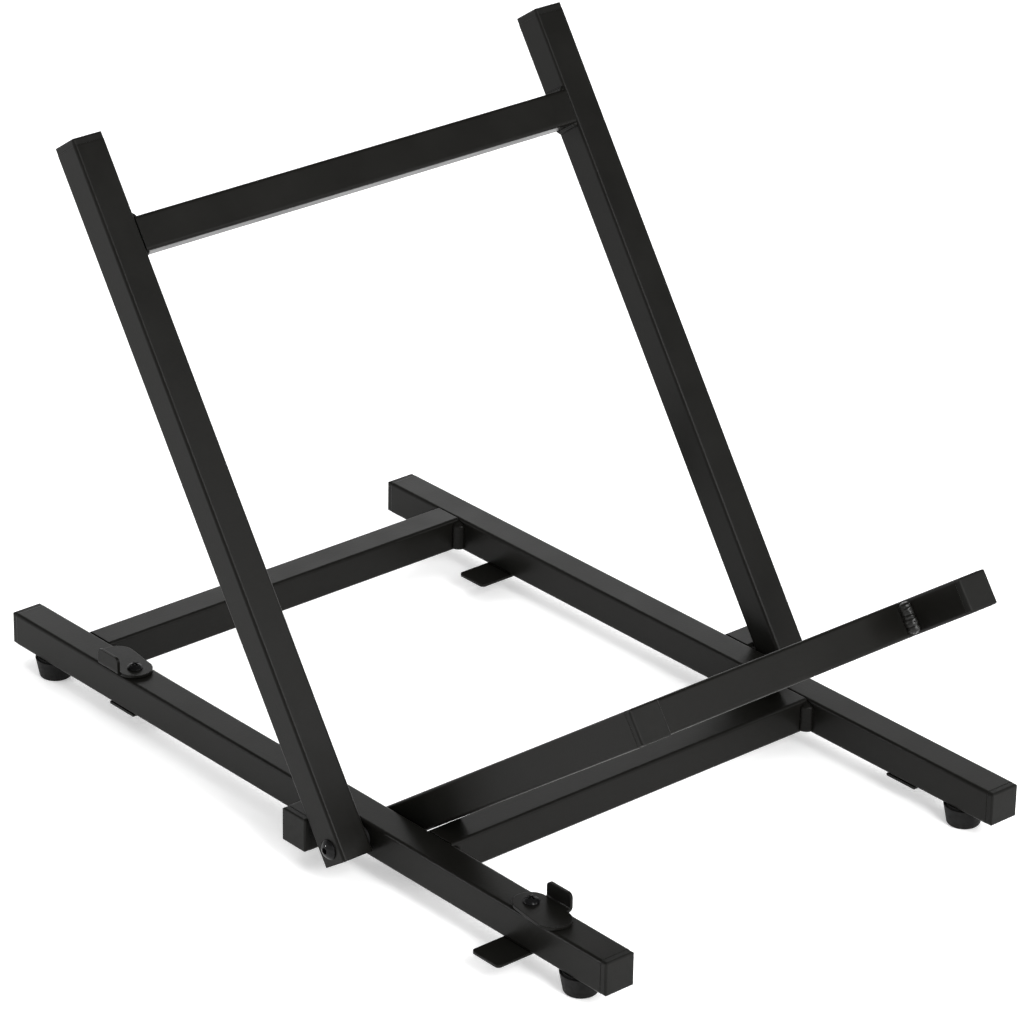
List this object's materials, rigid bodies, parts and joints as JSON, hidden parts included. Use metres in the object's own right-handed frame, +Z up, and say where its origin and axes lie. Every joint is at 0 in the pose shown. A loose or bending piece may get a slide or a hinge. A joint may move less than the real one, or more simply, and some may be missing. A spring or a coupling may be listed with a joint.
{
  "type": "folding amp stand",
  "caption": "Low folding stand of square steel tube that holds an amplifier tilted back on a ledge and a leaning back frame.",
  "frame": {"origin": "on the floor under the centre of the stand's box, below its four rubber feet", "axes": "+Z up; +Y to the back, where the uprights lean; +X to the stand's right, seen from in front facing the back; the latches are on the left rail, at -X"},
  "size_m": [0.3522, 0.5124, 0.3605],
  "materials": {
    "black_powder_coat": "satin black powder coat",
    "black_plastic": "fine matte moulded plastic",
    "black_rubber": "matte rubber",
    "black_fastener": "glossy black zinc",
    "black_nylon": "smooth nylon"
  },
  "bodies": {
    "base": {"left_rail": "black_powder_coat", "right_rail": "black_powder_coat", "front_crossbar": "black_powder_coat", "rear_crossbar": "black_powder_coat", "left_stop": "black_powder_coat", "right_stop": "black_powder_coat", "frame_welds": "black_powder_coat", "plate_welds": "black_powder_coat", "rest_plate_front_left": "black_powder_coat", "rest_plate_front_right": "black_powder_coat", "rest_plate_rear_left": "black_powder_coat", "rest_plate_rear_right": "black_powder_coat", "rail_end_caps": "black_plastic", "stop_caps": "black_plastic", "foot_front_left": "black_rubber", "foot_front_right": "black_rubber", "foot_rear_left": "black_rubber", "foot_rear_right": "black_rubber", "foot_screws": "black_fastener", "pivot_bolts": "black_fastener", "upright_spacers": "black_nylon", "arm_spacers": "black_nylon", "pivot_washers": "black_fastener", "pivot_nuts": "black_fastener", "latch_screws": "black_fastener", "latch_washers": "black_nylon", "latch_nuts": "black_fastener"},
    "back_frame": {"left_upright": "black_powder_coat", "right_upright": "black_powder_coat", "back_crossbar": "black_powder_coat", "back_welds": "black_powder_coat", "upright_caps": "black_plastic"},
    "ledge_frame": {"left_ledge_arm": "black_powder_coat", "right_ledge_arm": "black_powder_coat", "ledge_crossbar": "black_powder_coat", "ledge_welds": "black_powder_coat", "arm_caps": "black_plastic"},
    "rear_latch": {"rear_latch": "black_powder_coat"},
    "front_latch": {"front_latch": "black_powder_coat"}
  },
  "joints": [
    {"name": "back_frame_fold", "type": "hinge", "parent": "base", "child": "back_frame", "pos_m": [0, -0.06183, 0.023], "axis": [1, 0, 0], "range_deg": [0, 124]},
    {"name": "ledge_frame_fold", "type": "hinge", "parent": "base", "child": "ledge_frame", "pos_m": [0, -0.06183, 0.023], "axis": [-1, 0, 0], "range_deg": [0, 144.3]},
    {"name": "rear_latch_swivel", "type": "hinge", "parent": "base", "child": "rear_latch", "pos_m": [-0.14, 0.15217, 0.0334], "axis": [0, 0, -1], "range_deg": [0, 90]},
    {"name": "front_latch_swivel", "type": "hinge", "parent": "base", "child": "front_latch", "pos_m": [-0.14, -0.18717, 0.0334], "axis": [0, 0, -1], "range_deg": [0, 90]}
  ]
}
